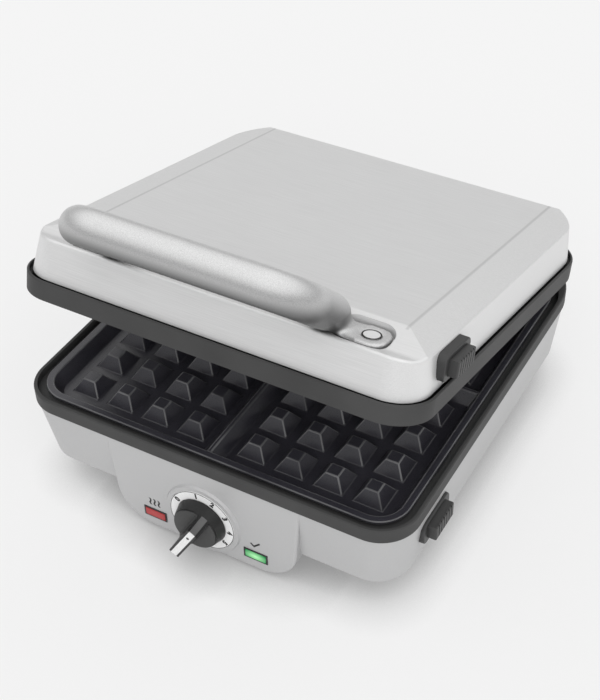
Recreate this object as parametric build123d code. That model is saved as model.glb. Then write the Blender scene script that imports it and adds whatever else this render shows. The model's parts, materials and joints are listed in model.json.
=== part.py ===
from build123d import *
import math
import os

# Four-square waffle maker, in millimetres. The table is z = 0, the front faces -Y, and the rims are
# centred on x = y = 0. Lid pieces are drawn shut and then swung open about the hinge.

# Rims and parting plane
base_width = 340.0
base_depth = 359.0
rim_front_corner = 32.0
rim_rear_corner = 52.0
rim_wall = 3.0
rear_deck = 20.0
parting_height = 100.0
parting_gap = 0.6
base_rim_height = 12.0
lid_rim_height = 15.7
lid_ledge = 4.0
rim_ledge = 5.0
rim_edge_round = 1.2
lid_opening = 14.7

# Base shell and control housing
wall = 2.8
rim_overhang = 1.0
shell_bottom = 32.0
shell_draft_front = 7.5
shell_draft_side = 6.5
shell_foot_front_corner = 30.0
shell_foot_rear_corner = 42.0
flange_width = 22.0
flange_thickness = 3.0
pod_top_width = 173.6
pod_bottom_width = 160.0
pod_bottom = 3.0
pod_depth = 34.0
pod_corner = 33.0
pod_edge_round = 2.0
shell_edge_round = 2.0
halo_width = 4.6
halo_height = 2.0

# Bottom pan and feet
pan_bottom = 6.0
pan_draft = 20.0
pan_wall = 2.5
pan_lip = 10.0
pan_corner = 30.0
pan_gap = 1.0
foot_diameter = 22.0
foot_inset = 16.0
foot_round = 1.5
foot_peg_diameter = 6.0
vent_count = 7
vent_length = 46.0
vent_width = 4.0
vent_pitch = 14.0
post_diameter = 10.0

# Waffle plates
plate_groove = 6.0
plate_recess = 0.7
plate_lip = 6.0
plate_thickness = 3.0
plate_depth_of_cut = 12.0
plate_slope = 6.0
plate_front_corner = 26.0
plate_rear_corner = 34.0
plate_clearance = 1.9
pad_length = 24.0
pad_width = 3.0
peak_count = 4
peak_pitch = 33.4
peak_base = 25.0
peak_top = 11.0
peak_height = 11.0
waffle_gap = 29.5
divider_base = 18.0
divider_top = 3.2
divider_height = 10.0
tab_width = 18.0
tab_length = 10.0
tab_thickness = 2.0
tab_clearance = 0.5

# Heating elements and reflectors
heater_diameter = 6.6
heater_inset = 52.0
heater_bend = 32.0
heater_end_gap = 44.0
heater_gap = 4.0
reflector_gap = 8.0
reflector_sheet = 1.2
reflector_edge = 8.0
reflector_inset = 31.0
reflector_corner = 20.0
clip_length = 9.0
clip_width = 13.0
clip_clearance = 0.1
clip_cover = 2.0

# Control panel
dial_height = 37.0
dial_diameter = 58.6
dial_bore = 24.0
dial_thickness = 2.4
lamp_offset = 46.6
lamp_drop = 18.6
lamp_width = 18.4
lamp_height = 7.2
lamp_border = 1.2
lamp_proud = 1.2
lamp_depth = 7.5
board_border = 4.0
board_thickness = 1.6
fit_gap = 0.2

# Knob and thermostat
knob_diameter = 44.0
knob_crown = 39.0
knob_disc = 9.0
knob_height = 27.0
knob_gap = 0.6
blade_width = 9.0
blade_flare = 5.0
insert_width = 5.4
insert_thickness = 1.3
pointer_angle = 31.0
shaft_diameter = 6.0
shaft_grip = 12.0
running_gap = 0.05
bush_diameter = 9.6
bush_gap = 0.2
nut_size = 13.0
nut_thickness = 1.8
nut_gap = 1.2
thermostat_width = 40.0
thermostat_height = 32.0
thermostat_depth = 20.0

# Release buttons, one on the base and one on the lid
release_inset = 62.5
release_height = 66.0
release_rise = 31.6
bezel_length = 44.0
bezel_height = 21.0
bezel_corner = 6.0
bezel_proud = 3.0
bezel_depth = 9.0
sleeve_length = 20.0
sleeve_wall = 1.6
button_length = 30.0
button_height = 13.0
button_proud = 10.0
button_gap = 0.4
button_travel = 4.0
button_rib = 1.2
button_rib_count = 6
spring_room = 9.0
spring_diameter = 11.5
spring_wire = 1.2
stem_diameter = 8.0
catch_length = 16.0
catch_plate = 3.0
nose_bite = 2.5
nose_height = 2.5
lug_plate = 4.0
lug_gap = 0.5
lug_standoff = 2.0
lug_drop = 7.0
bezel_edge_round = 1.0

# Hinge
hinge_setback = 8.5
hinge_drop = 8.0
hinge_pin = 5.0
hinge_pin_bore = 3.0
knuckle_diameter = 14.0
hinge_inset = 72.0
hinge_arm_width = 18.0
hinge_lug_width = 9.0
hinge_side_gap = 0.3

# Lid cover
sheet = 1.0
cover_gap = 2.2
cover_rim_wall = 1.8
cover_height = 50.0
cover_side_lip = 44.4
cover_side_draft = 3.8
facet_run = 27.2
facet_step = 0.01
cover_front_draft = 6.9
front_lip = 46.0
trough_run = 10.0
trough_bottom = 43.2
trough_length = 41.5
rear_run = 14.0
rear_lip = 44.4
rear_draft = 4.4
cover_lip_front_corner = 25.0
cover_lip_rear_corner = 46.0
facet_round = 8.0
lip_round = 2.0
trough_round = 14.0

# Handle
grip_diameter = 28.4
grip_reach = 92.5
grip_forward = 38.0
grip_rise = 92.0
grip_bend = 26.0
neck_reach = 86.2
neck_back = 31.5
neck_rise = 10.5
neck_inner_round = 2.0
handle_foot_start = 90.0
handle_foot_reach = 131.0
handle_foot_depth = 29.0
handle_foot_thickness = 4.6
handle_foot_setback = 6.0
handle_gap = 0.5
pocket_gap = 1.8
pocket_depth = 2.0
pocket_corner = 12.0
cap_diameter = 12.0
cap_thickness = 1.8
cap_inset = 14.0
cap_gap = 0.2
handle_bolt = 5.0
handle_bolt_head = 9.0
handle_bolt_head_height = 1.6
handle_bolt_seat = 1.4
handle_nut = 9.0
handle_nut_height = 4.0

# Small fittings
screw_diameter = 3.4
screw_head = 7.0
screw_head_height = 2.4
screw_gap = 0.1
screw_length = 14.0
gland_diameter = 16.0
gland_bore = 8.0
gland_flange = 22.0
gland_proud = 4.5
gland_reach = 8.0
gland_x = -70.0
gland_height = 58.0
terminal_length = 42.0
terminal_depth = 14.0
terminal_height = 15.0
fuse_diameter = 5.0
fuse_length = 18.0
fuse_strap = 6.0

# Places worked out from the sizes above
half_width = base_width / 2
half_depth = base_depth / 2
rim_size = (base_width, base_depth, rim_front_corner, rim_rear_corner)
rim_bottom = parting_height - base_rim_height
lid_bottom = parting_height + parting_gap
lid_rim_top = lid_bottom + lid_rim_height
hinge_y = half_depth + hinge_setback
hinge_z = parting_height - hinge_drop
plate_width = base_width - 2 * (rim_wall + plate_groove)
plate_depth = base_depth - rim_wall - 2 * plate_groove - rear_deck
plate_middle = (rim_wall - rear_deck) / 2
plate_size = (plate_width, plate_depth, plate_front_corner, plate_rear_corner)
lower_lip = parting_height - plate_recess
lower_floor = lower_lip - plate_depth_of_cut
lower_back = lower_floor - plate_thickness
upper_lip = lid_bottom + plate_recess
upper_back = upper_lip + plate_depth_of_cut + plate_thickness
pod_face = rim_overhang - half_depth
release_y = release_inset - half_depth
lower_ledge = rim_bottom + rim_ledge
lid_pocket = lower_lip + upper_lip - lower_ledge
lid_ledge_top = lid_pocket + lid_ledge
lower_heater_z = lower_back - heater_gap - heater_diameter / 2
upper_heater_z = upper_back + heater_gap + heater_diameter / 2
lower_tray = lower_heater_z - reflector_gap
upper_tray = upper_heater_z + reflector_gap

os.makedirs("parts", exist_ok=True)


def save(name, shape):
    """Write one piece to its own file."""
    export_step(shape, f"parts/{name}.step")


def group(shapes):
    """Several separate solids of one kind as one piece."""
    return Compound([shape.solid() for shape in shapes])


def block(left, right, front, back, bottom, top):
    """Square-edged block between six faces."""
    middle = ((left + right) / 2, (front + back) / 2, (bottom + top) / 2)
    return Pos(*middle) * Box(right - left, back - front, top - bottom)


def plan_outline(width, depth, front_corner, rear_corner):
    """Rectangle centred on the axis, with radii of its own at the front and at the rear."""
    outline = Rectangle(width, depth)
    outline = fillet(outline.vertices().group_by(Axis.Y)[0], front_corner)
    return fillet(outline.vertices().group_by(Axis.Y)[-1], rear_corner)


def slab(size, bottom, top, middle=0.0):
    """Upright block on a plan outline, centred on x = 0 and y = middle."""
    outline = Pos(0, middle, bottom) * plan_outline(*size)
    return extrude(outline, top - bottom, dir=(0, 0, 1))


def tapered(low, high, bottom, top, middle=0.0, drift=0.0):
    """Block whose plan outline changes from low to high, while its middle moves by drift."""
    first = Pos(0, middle, bottom) * plan_outline(*low)
    last = Pos(0, middle + drift, top) * plan_outline(*high)
    return loft([first, last], ruled=True)


def shrunk(size, inset):
    """The same plan outline, moved inwards."""
    return (size[0] - 2 * inset, size[1] - 2 * inset, size[2] - inset, size[3] - inset)


def rod_x(diameter, left, right, y, z):
    """Round bar along X."""
    return Pos((left + right) / 2, y, z) * Rot(0, 90, 0) * Cylinder(diameter / 2, right - left)


def rod_y(diameter, front, back, x, z):
    """Round bar along Y."""
    return Pos(x, (front + back) / 2, z) * Rot(90, 0, 0) * Cylinder(diameter / 2, back - front)


def rod_z(diameter, bottom, top, x, y):
    """Round bar along Z."""
    return Pos(x, y, (bottom + top) / 2) * Cylinder(diameter / 2, top - bottom)


def rounded_outline(points, rounds):
    """Closed outline through points, with (point number, radius) corners rounded."""
    outline = Polygon(*points, align=None)
    for number, radius in rounds:
        corner = outline.vertices().sort_by_distance((*points[number], 0))[0]
        outline = fillet(corner, radius)
    return outline


def side_prism(points, left, right, rounds=()):
    """Outline in (y, z) drawn through from left to right."""
    return extrude(Plane.YZ.offset(left) * rounded_outline(points, rounds), right - left, dir=(1, 0, 0))


def front_prism(points, front, back, rounds=()):
    """Outline in (x, z) drawn through from front to back."""
    return extrude(Plane.XZ.offset(-back) * rounded_outline(points, rounds), back - front, dir=(0, -1, 0))


def on_lid(shape):
    """Swing a piece that was drawn with the lid shut to where the open lid holds it."""
    return shape.rotate(Axis((0, hinge_y, hinge_z), (1, 0, 0)), -lid_opening)


# Base shell: a drafted tub wall with an inward flange at its foot and the control housing in front
shell_top_size = shrunk(rim_size, rim_overhang)
shell_foot_size = (
    shell_top_size[0] - 2 * shell_draft_side,
    shell_top_size[1] - 2 * shell_draft_front,
    shell_foot_front_corner,
    shell_foot_rear_corner,
)
shell_span = rim_bottom - shell_bottom
flange_top = shell_bottom + flange_thickness
pan_front = pod_face + pod_depth
pan_rear = shell_foot_size[1] / 2 - flange_width
pan_opening = (shell_foot_size[0] - 2 * flange_width, pan_rear - pan_front, pan_corner, pan_corner)
pan_middle = (pan_front + pan_rear) / 2
panel = Plane(origin=(0, pod_face, 0), x_dir=(1, 0, 0), z_dir=(0, -1, 0))
dial_place = panel * Pos(0, dial_height, 0)
dial_seat = dial_diameter + 2 * fit_gap
lamp_z = dial_height - lamp_drop
lamp_places = (-lamp_offset, lamp_offset)
release_x = half_width - bezel_proud
gland_wall = half_depth - rim_overhang - shell_draft_front * (rim_bottom - gland_height) / shell_span


def pod_form(inset, corner):
    """Control housing, moved inwards everywhere but at its top."""
    high = pod_top_width / 2 - inset
    low = pod_bottom_width / 2 - inset
    foot = pod_bottom + inset
    outline = ((-high, rim_bottom), (high, rim_bottom), (low, foot), (-low, foot))
    return front_prism(outline, pod_face + inset, pan_front - inset, ((2, corner), (3, corner)))


def bezel_slab(grow, inner, outer, z):
    """Rounded block along X on the outline of a release bezel, grown all round."""
    outline = RectangleRounded(bezel_length + 2 * grow, bezel_height + 2 * grow, bezel_corner + grow)
    return extrude(Plane.YZ.offset(inner) * Pos(release_y, z) * outline, amount=outer - inner)


def lamp_block(x, width, height, inner, outer):
    """Block centred on a lamp, between two distances out from the face of the control housing."""
    return panel * Pos(x, lamp_z, (inner + outer) / 2) * Box(width, height, outer - inner)


tub = tapered(shell_foot_size, shell_top_size, shell_bottom, rim_bottom)
tub = fillet(tub.faces().sort_by(Axis.Z)[0].edges(), shell_edge_round)
pod = pod_form(0, pod_corner)
pod = fillet(pod.faces().sort_by(Axis.Y)[0].edges().sort_by(Axis.Z)[:-1], pod_edge_round)
tub_hollow = tapered(shrunk(shell_foot_size, wall), shrunk(shell_top_size, wall), flange_top, rim_bottom)
base_shell = tub + pod + dial_place * extrude(Circle(dial_seat / 2 + halo_width), halo_height, taper=30)
base_shell -= tub_hollow
base_shell -= pod_form(wall, pod_corner - wall)
base_shell -= slab(pan_opening, shell_bottom, flange_top, pan_middle)
base_shell -= dial_place * extrude(Circle(dial_seat / 2), halo_height)
base_shell -= dial_place * extrude(Circle(bush_diameter / 2 + bush_gap), -wall)
for x in lamp_places:
    base_shell -= lamp_block(x, lamp_width + 2 * fit_gap, lamp_height + 2 * fit_gap, -wall, 0)
base_shell -= bezel_slab(fit_gap, release_x - bezel_depth, half_width, release_height)
base_shell -= rod_y(gland_diameter + 2 * fit_gap, gland_wall - gland_reach, half_depth, gland_x, gland_height)

# Base rim: a dark frame with a pocket that leaves a groove round the plate, and a ledge under it
pocket_size = (
    plate_width + 2 * plate_groove, plate_depth + 2 * plate_groove,
    rim_front_corner - rim_wall, plate_rear_corner + plate_groove,
)
ledge_opening = shrunk(plate_size, plate_lip - plate_clearance)
plate_rear = plate_middle + plate_depth / 2
tab_places = (-plate_width / 4, plate_width / 4)
lower_tab = lower_lip - plate_thickness - tab_thickness
upper_tab = upper_lip + plate_thickness


def rim_frame(bottom, top):
    """Outer block of a rim with its upper edge softened."""
    frame = slab(rim_size, bottom, top)
    return fillet(frame.faces().sort_by(Axis.Z)[-1].edges(), rim_edge_round)


def tab_slots(tab):
    """Slots in the rear deck of a rim for the two tabs of its plate, which start at height tab."""
    half = tab_width / 2 + tab_clearance
    start = plate_rear + plate_groove / 2
    end = plate_rear + tab_length + tab_clearance
    top = tab + tab_thickness + tab_clearance
    return [block(x - half, x + half, start, end, tab - tab_clearance, top) for x in tab_places]


base_rim = rim_frame(rim_bottom, parting_height)
base_rim -= slab(pocket_size, lower_ledge, parting_height, plate_middle)
base_rim -= slab(ledge_opening, rim_bottom, lower_ledge, plate_middle)
base_rim -= tab_slots(lower_tab)

# Waffle plate: a cast tray with a lip, rows of blunt peaks, a cross divider, pads, tabs and a catch lug
sleeve_end = release_x - sleeve_length
catch_x = sleeve_end - button_travel - catch_plate
lug_x = catch_x + catch_plate + lug_standoff
mouth_size = shrunk(plate_size, plate_lip)
bed_size = shrunk(mouth_size, plate_slope)
lip_bottom = lower_lip - plate_thickness
cavity = tapered(bed_size, mouth_size, lower_floor, lower_lip, plate_middle)
lower_plate = slab(plate_size, lip_bottom, lower_lip, plate_middle)
lower_plate += tapered(
    shrunk(bed_size, -plate_thickness), shrunk(mouth_size, -plate_thickness),
    lower_back, lip_bottom, plate_middle,
)
lower_plate -= cavity
divider_crest = lower_floor + divider_height
divider = (
    (-divider_base / 2, lower_floor), (-divider_top / 2, divider_crest),
    (divider_top / 2, divider_crest), (divider_base / 2, lower_floor),
)
long_ridge = front_prism(divider, plate_middle - plate_depth / 2, plate_middle + plate_depth / 2)
cross_ridge = side_prism([(plate_middle + y, z) for y, z in divider], -plate_width / 2, plate_width / 2)
lower_plate += (long_ridge + cross_ridge) & cavity
peak_crown = Pos(0, 0, peak_height) * Rectangle(peak_top, peak_top)
peak = loft([Rectangle(peak_base, peak_base), peak_crown], ruled=True)
peak_steps = [waffle_gap / 2 + peak_base / 2 + number * peak_pitch for number in range(peak_count)]
peak_rows = [-step for step in peak_steps] + peak_steps
lower_plate += [Pos(x, plate_middle + y, lower_floor) * peak for x in peak_rows for y in peak_rows]
for x in (pad_width / 2 - plate_width / 2, plate_width / 2 - pad_width / 2):
    for y in (plate_middle - plate_depth / 4, plate_middle + plate_depth / 4):
        lower_plate += block(
            x - pad_width / 2, x + pad_width / 2, y - pad_length / 2, y + pad_length / 2,
            lower_ledge, lip_bottom,
        )
for x in tab_places:
    lower_plate += block(
        x - tab_width / 2, x + tab_width / 2, plate_rear - plate_lip, plate_rear + tab_length,
        lower_tab, lip_bottom,
    )
lug_half = catch_length / 2 + lug_gap
lug_sill = lower_back - nose_height - 2 * lug_gap
lower_plate += block(
    lug_x, lug_x + lug_plate, release_y - lug_half - lug_plate, release_y + lug_half + lug_plate,
    lower_back - lug_drop, lower_back,
) - block(lug_x, lug_x + lug_plate, release_y - lug_half, release_y + lug_half, lug_sill, lower_back)
upper_plate = mirror(lower_plate, about=Plane.XY.offset((lower_lip + upper_lip) / 2))

# Heating elements: one bent tube each, whose ends meet at the rear, held by clips on a shallow tray
heater_x = plate_width / 2 - heater_inset
heater_front = plate_middle - plate_depth / 2 + heater_inset
heater_rear = plate_rear - heater_inset
rear_clip_x = (heater_x + heater_end_gap / 2) / 2
clip_places = (
    Pos(-heater_x, plate_middle), Pos(heater_x, plate_middle), Pos(0, heater_front) * Rot(0, 0, 90),
    Pos(-rear_clip_x, heater_rear) * Rot(0, 0, 90), Pos(rear_clip_x, heater_rear) * Rot(0, 0, 90),
)
tray_size = (
    plate_width - 2 * reflector_inset, plate_depth - 2 * reflector_inset, reflector_corner, reflector_corner,
)
post_x = heater_x - heater_bend
post_y = heater_rear - plate_middle - heater_bend
post_places = [(x, plate_middle + y) for x in (-post_x, post_x) for y in (-post_y, post_y)]
lower_sheet = lower_tray - reflector_sheet
upper_sheet = upper_tray + reflector_sheet
screw_hole = screw_diameter + 2 * screw_gap


def heater(z):
    """Bent tube at height z."""
    end = heater_end_gap / 2
    points = (
        (-end, heater_rear), (-heater_x, heater_rear), (-heater_x, heater_front),
        (heater_x, heater_front), (heater_x, heater_rear), (end, heater_rear),
    )
    path = FilletPolyline(*[(x, y, z) for x, y in points], radius=heater_bend)
    section = Plane(origin=path @ 0, z_dir=path % 0) * Circle(heater_diameter / 2)
    return sweep(section, path)


def heater_clips(z, tray):
    """Saddles that hold the tube at height z to a tray face at the given height."""
    low, high = sorted((tray, z + math.copysign(heater_diameter / 2 + clip_cover, z - tray)))
    saddle = block(-clip_width / 2, clip_width / 2, -clip_length / 2, clip_length / 2, low, high)
    saddle -= rod_y(heater_diameter + 2 * clip_clearance, -clip_length, clip_length, 0, z)
    return group([place * saddle for place in clip_places])


def reflector(sheet_z, edge_z):
    """Shallow tray with its face at sheet_z and its turned edges ending at edge_z."""
    outside = sheet_z - math.copysign(reflector_sheet, edge_z - sheet_z)
    tray = slab(tray_size, *sorted((outside, edge_z)), plate_middle)
    return tray - slab(shrunk(tray_size, reflector_sheet), *sorted((sheet_z, edge_z)), plate_middle)


lower_reflector = reflector(lower_tray, lower_tray + reflector_edge)
upper_reflector = reflector(upper_tray, upper_tray - reflector_edge)
for x, y in post_places:
    lower_reflector -= rod_z(screw_hole, lower_sheet, lower_tray, x, y)

# Bottom pan: a drafted tray screwed up under the flange, with vents, feet and posts for the reflector
pan_top_size = shrunk(pan_opening, pan_gap)
pan_foot_size = (pan_top_size[0] - 2 * pan_draft, pan_top_size[1] - 2 * pan_draft, pan_corner, pan_corner)
pan_lip_size = (pan_top_size[0] + 2 * pan_lip, pan_top_size[1] + pan_lip, pan_corner, pan_corner)
pan_floor = pan_bottom + pan_wall
pan_lip_bottom = shell_bottom - pan_wall
foot_x = pan_foot_size[0] / 2 - foot_inset
foot_y = pan_foot_size[1] / 2 - foot_inset
foot_places = [(x, pan_middle + y) for x in (-foot_x, foot_x) for y in (-foot_y, foot_y)]
pan_screw_x = (pan_top_size[0] + pan_lip) / 2
pan_screw_y = pan_top_size[1] / 3
pan_screw_places = [
    (x, pan_middle + y) for x in (-pan_screw_x, pan_screw_x) for y in (-pan_screw_y, 0, pan_screw_y)
]
bottom_pan = tapered(pan_foot_size, pan_top_size, pan_bottom, shell_bottom, pan_middle)
bottom_pan += slab(pan_lip_size, pan_lip_bottom, shell_bottom, pan_middle + pan_lip / 2)
bottom_pan -= tapered(
    shrunk(pan_foot_size, pan_wall), shrunk(pan_top_size, pan_wall), pan_floor, shell_bottom, pan_middle
)
for number in range(vent_count):
    y = pan_middle + (number - (vent_count - 1) / 2) * vent_pitch
    for x in (-vent_length, vent_length):
        bottom_pan -= block(
            x - vent_length / 2, x + vent_length / 2, y - vent_width / 2, y + vent_width / 2,
            pan_bottom, pan_floor,
        )
for x, y in post_places:
    bottom_pan += rod_z(post_diameter, pan_floor, lower_sheet, x, y)
    bottom_pan -= rod_z(screw_hole, lower_sheet - screw_length, lower_sheet, x, y)
for x, y in foot_places:
    bottom_pan -= rod_z(foot_peg_diameter + 2 * screw_gap, pan_bottom, pan_floor, x, y)
for x, y in pan_screw_places:
    bottom_pan -= rod_z(screw_hole, pan_lip_bottom, shell_bottom, x, y)
    base_shell -= rod_z(screw_hole, shell_bottom, flange_top, x, y)


def screw(x, y, seat, tip):
    """Round-head screw that seats at one height and ends at another."""
    head = seat - math.copysign(screw_head_height, tip - seat)
    return rod_z(screw_head, *sorted((seat, head)), x, y) + rod_z(screw_diameter, *sorted((seat, tip)), x, y)


def rubber_foot(x, y):
    """Soft foot with a peg in the pan."""
    pad = fillet(rod_z(foot_diameter, 0, pan_bottom, x, y).edges(), foot_round)
    return pad + rod_z(foot_peg_diameter, pan_bottom, pan_floor, x, y)


pan_screws = [screw(x, y, pan_lip_bottom, flange_top) for x, y in pan_screw_places]
reflector_screws = [screw(x, y, lower_tray, lower_tray - screw_length) for x, y in post_places]


# Release: a bezel with a sleeve, a ribbed button on a stem, its return spring and the catch on the stem
def release(z, hook):
    """Bezel, button, spring and catch of a release at height z, with the nose of its catch at hook."""
    outer = release_x + bezel_proud
    neck = release_x - bezel_depth
    end = sleeve_end
    floor = end + sleeve_wall
    back = floor + spring_room
    face = release_x + button_proud
    room_y = button_length / 2 + button_gap
    room_z = button_height / 2 + button_gap
    bezel = bezel_slab(0, neck, outer, z)
    bezel = fillet(bezel.faces().sort_by(Axis.X)[-1].edges(), bezel_edge_round)
    bezel += Pos((end + neck) / 2, release_y, z) * Box(
        neck - end, 2 * (room_y + sleeve_wall), 2 * (room_z + sleeve_wall)
    )
    bezel -= Pos((floor + outer) / 2, release_y, z) * Box(outer - floor, 2 * room_y, 2 * room_z)
    bezel -= rod_x(stem_diameter + 2 * button_gap, end, floor, release_y, z)
    button = Pos((back + face) / 2, release_y, z) * Box(face - back, button_length, button_height)
    button = fillet(button.faces().sort_by(Axis.X)[-1].edges(), button_rib)
    rib_step = button_length / (button_rib_count + 1)
    for number in range(button_rib_count):
        y = release_y - button_length / 2 + (number + 1) * rib_step
        button -= Pos(face, y, z) * Box(2 * button_rib, button_rib, 2 * button_height)
    button += rod_x(stem_diameter, catch_x + catch_plate, back, release_y, z)
    spring = rod_x(spring_diameter, floor, back, release_y, z)
    spring -= rod_x(spring_diameter - 2 * spring_wire, floor, back, release_y, z)
    toward = math.copysign(1, hook - z)
    low, high = sorted((z - toward * stem_diameter, hook + toward * nose_height / 2))
    front = release_y - catch_length / 2
    rear = release_y + catch_length / 2
    catch = block(catch_x, catch_x + catch_plate, front, rear, low, high)
    catch += block(
        catch_x, lug_x + nose_bite, front, rear, hook - nose_height / 2, hook + nose_height / 2
    )
    return bezel, button, spring, catch


lower_release = release(release_height, lower_back - lug_gap - nose_height / 2)

# Dial plate, lamps and their boards on the control housing
dial_ring = Circle(dial_diameter / 2) - Circle(dial_bore / 2)
dial_plate = dial_place * extrude(dial_ring, dial_thickness)


def lamp_lens(x):
    """Lens with a softened front, long enough to reach its board."""
    lens = lamp_block(x, lamp_width, lamp_height, -lamp_depth, lamp_proud)
    return fillet(lens.faces().sort_by(Axis.Y)[0].edges(), lamp_proud / 2)


def lamp_bezel(x):
    """Thin frame round a lens."""
    inside = (lamp_width + 2 * fit_gap, lamp_height + 2 * fit_gap)
    frame = lamp_block(x, inside[0] + 2 * lamp_border, inside[1] + 2 * lamp_border, 0, lamp_proud / 2)
    return frame - lamp_block(x, *inside, 0, lamp_proud / 2)


lamp_boards = [
    lamp_block(
        x, lamp_width + 2 * board_border, lamp_height + 2 * board_border,
        -lamp_depth - board_thickness, -lamp_depth,
    )
    for x in lamp_places
]

# Thermostat behind the dial: body with a threaded bush through the wall, nut and shaft
bush_tip = nut_thickness + nut_gap
knob_back = dial_thickness + knob_gap
shaft_start = -wall - shaft_grip
thermostat_body = dial_place * Pos(0, 0, -wall - thermostat_depth / 2) * Box(
    thermostat_width, thermostat_height, thermostat_depth
)
thermostat_body += dial_place * Pos(0, 0, -wall) * extrude(Circle(bush_diameter / 2), wall + bush_tip)
thermostat_body -= dial_place * Pos(0, 0, shaft_start) * extrude(
    Circle(shaft_diameter / 2 + running_gap), bush_tip - shaft_start
)
thermostat_nut = dial_place * (
    extrude(RegularPolygon(nut_size / 2, 6), nut_thickness)
    - extrude(Circle(bush_diameter / 2 + screw_gap), nut_thickness)
)
shaft_start += running_gap
thermostat_shaft = dial_place * Pos(0, 0, shaft_start) * extrude(
    Circle(shaft_diameter / 2), knob_back + shaft_grip - shaft_start
)

# Control knob: a tapered disc under a tall blade with a bright strip let into its ends and its back
knob_place = dial_place * Rot(0, 0, -pointer_angle) * Pos(0, 0, knob_back)
flare_reach = blade_width / 2 + blade_flare
flare_top = knob_disc + blade_flare
blade = Pos(0, flare_top / 2) * Rectangle(2 * flare_reach, flare_top)
blade -= [Pos(x, flare_top) * Circle(blade_flare) for x in (-flare_reach, flare_reach)]
blade += Pos(0, knob_height / 2) * Rectangle(blade_width, knob_height)
knob_crown_rod = extrude(Circle(knob_crown / 2), knob_height)
knob_body = loft([Circle(knob_diameter / 2), Pos(0, 0, knob_disc) * Circle(knob_crown / 2)], ruled=True)
knob_body += extrude(Plane.XZ * blade, knob_crown / 2, both=True) & knob_crown_rod
strip = block(
    -insert_width / 2, insert_width / 2, -knob_crown / 2, knob_crown / 2, knob_disc, knob_height
) & knob_crown_rod
strip -= block(
    -insert_width / 2, insert_width / 2, insert_thickness - knob_crown / 2, knob_crown / 2 - insert_thickness,
    knob_disc, knob_height - insert_thickness,
)
knob_body -= strip
knob_body -= extrude(Circle(shaft_diameter / 2 + running_gap), shaft_grip + running_gap)
knob_body -= extrude(Circle(nut_size / 2 + knob_gap), bush_tip)

# Cord gland, terminal block and thermal fuse
gland_start = gland_wall - gland_reach
gland_end = gland_wall + gland_proud
cord_gland = rod_y(gland_flange, gland_start, gland_end, gland_x, gland_height) - tub
cord_gland += rod_y(gland_diameter, gland_start, gland_end, gland_x, gland_height)
cord_gland -= rod_y(gland_bore, gland_start, gland_end, gland_x, gland_height)
terminal_y = (pan_rear + shell_foot_size[1] / 2 - wall) / 2
terminal_top = flange_top + terminal_height
terminal_block = Pos(0, terminal_y, (flange_top + terminal_top) / 2) * Box(
    terminal_length, terminal_depth, terminal_height
)
for number in (-1, 0, 1):
    x = number * terminal_length / 3
    terminal_block -= rod_z(screw_diameter, terminal_top - screw_length / 2, terminal_top, x, terminal_y)
fuse_z = lower_sheet - fuse_diameter / 2
thermal_fuse = rod_x(fuse_diameter, -fuse_length / 2, fuse_length / 2, plate_middle, fuse_z)
thermal_fuse += Pos(0, plate_middle, (fuse_z + lower_sheet) / 2) * Box(
    fuse_strap, fuse_strap, fuse_diameter / 2
)

# Hinge: forked brackets on the base rim, arms on the lid rim and hollow pins
hinge_places = (hinge_inset - half_width, half_width - hinge_inset)
lug_start = hinge_arm_width / 2 + hinge_side_gap
pin_reach = lug_start + hinge_lug_width
knuckle_round = knuckle_diameter / 2
pin_hole = hinge_pin + 2 * running_gap


def base_bracket(x):
    """Two lugs on a strap along the rear face of the base rim."""
    strap_back = hinge_y - knuckle_round - hinge_side_gap
    bracket = block(
        x - pin_reach, x + pin_reach, half_depth, strap_back, rim_bottom, parting_height - rim_edge_round
    )
    for left in (x - pin_reach, x + lug_start):
        right = left + hinge_lug_width
        bracket += rod_x(knuckle_diameter, left, right, hinge_y, hinge_z)
        bracket += block(left, right, half_depth, hinge_y, rim_bottom, hinge_z + knuckle_round / 2)
    return bracket - rod_x(pin_hole, x - pin_reach, x + pin_reach, hinge_y, hinge_z)


def lid_arm(x):
    """Arm from the rear face of the lid rim down to the hinge axis."""
    left = x - hinge_arm_width / 2
    right = x + hinge_arm_width / 2
    arm_top = lid_rim_top - rim_edge_round
    arm = rod_x(knuckle_diameter, left, right, hinge_y, hinge_z)
    arm += block(left, right, hinge_y - knuckle_round, hinge_y + knuckle_round, hinge_z, arm_top)
    arm += block(left, right, half_depth, hinge_y, lid_bottom + rim_edge_round, arm_top)
    return arm - rod_x(pin_hole, left, right, hinge_y, hinge_z)


def hollow_pin(x):
    """Hollow pin through one hinge."""
    pin = rod_x(hinge_pin, x - pin_reach, x + pin_reach, hinge_y, hinge_z)
    return pin - rod_x(hinge_pin_bore, x - pin_reach, x + pin_reach, hinge_y, hinge_z)


# Lid rim: the base rim turned over, with a low wall round the foot of the cover
lid_rim = rim_frame(lid_bottom, lid_rim_top)
lid_rim -= slab(pocket_size, lid_bottom, lid_pocket, plate_middle)
lid_rim -= slab(ledge_opening, lid_pocket, lid_ledge_top, plate_middle)
lid_rim -= slab(shrunk(rim_size, cover_rim_wall), lid_ledge_top, lid_rim_top)
lid_rim -= tab_slots(upper_tab)

# Lid cover: steel sheet with flat side facets, a trough along its front and pockets for the handle feet
cover_top = lid_bottom + cover_height
cover_foot = shrunk(rim_size, cover_rim_wall + cover_gap)
cover_half_width = cover_foot[0] / 2
cover_half_depth = cover_foot[1] / 2
lip_y = cover_front_draft - cover_half_depth
pocket_floor = lid_bottom + trough_bottom - pocket_depth


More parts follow.
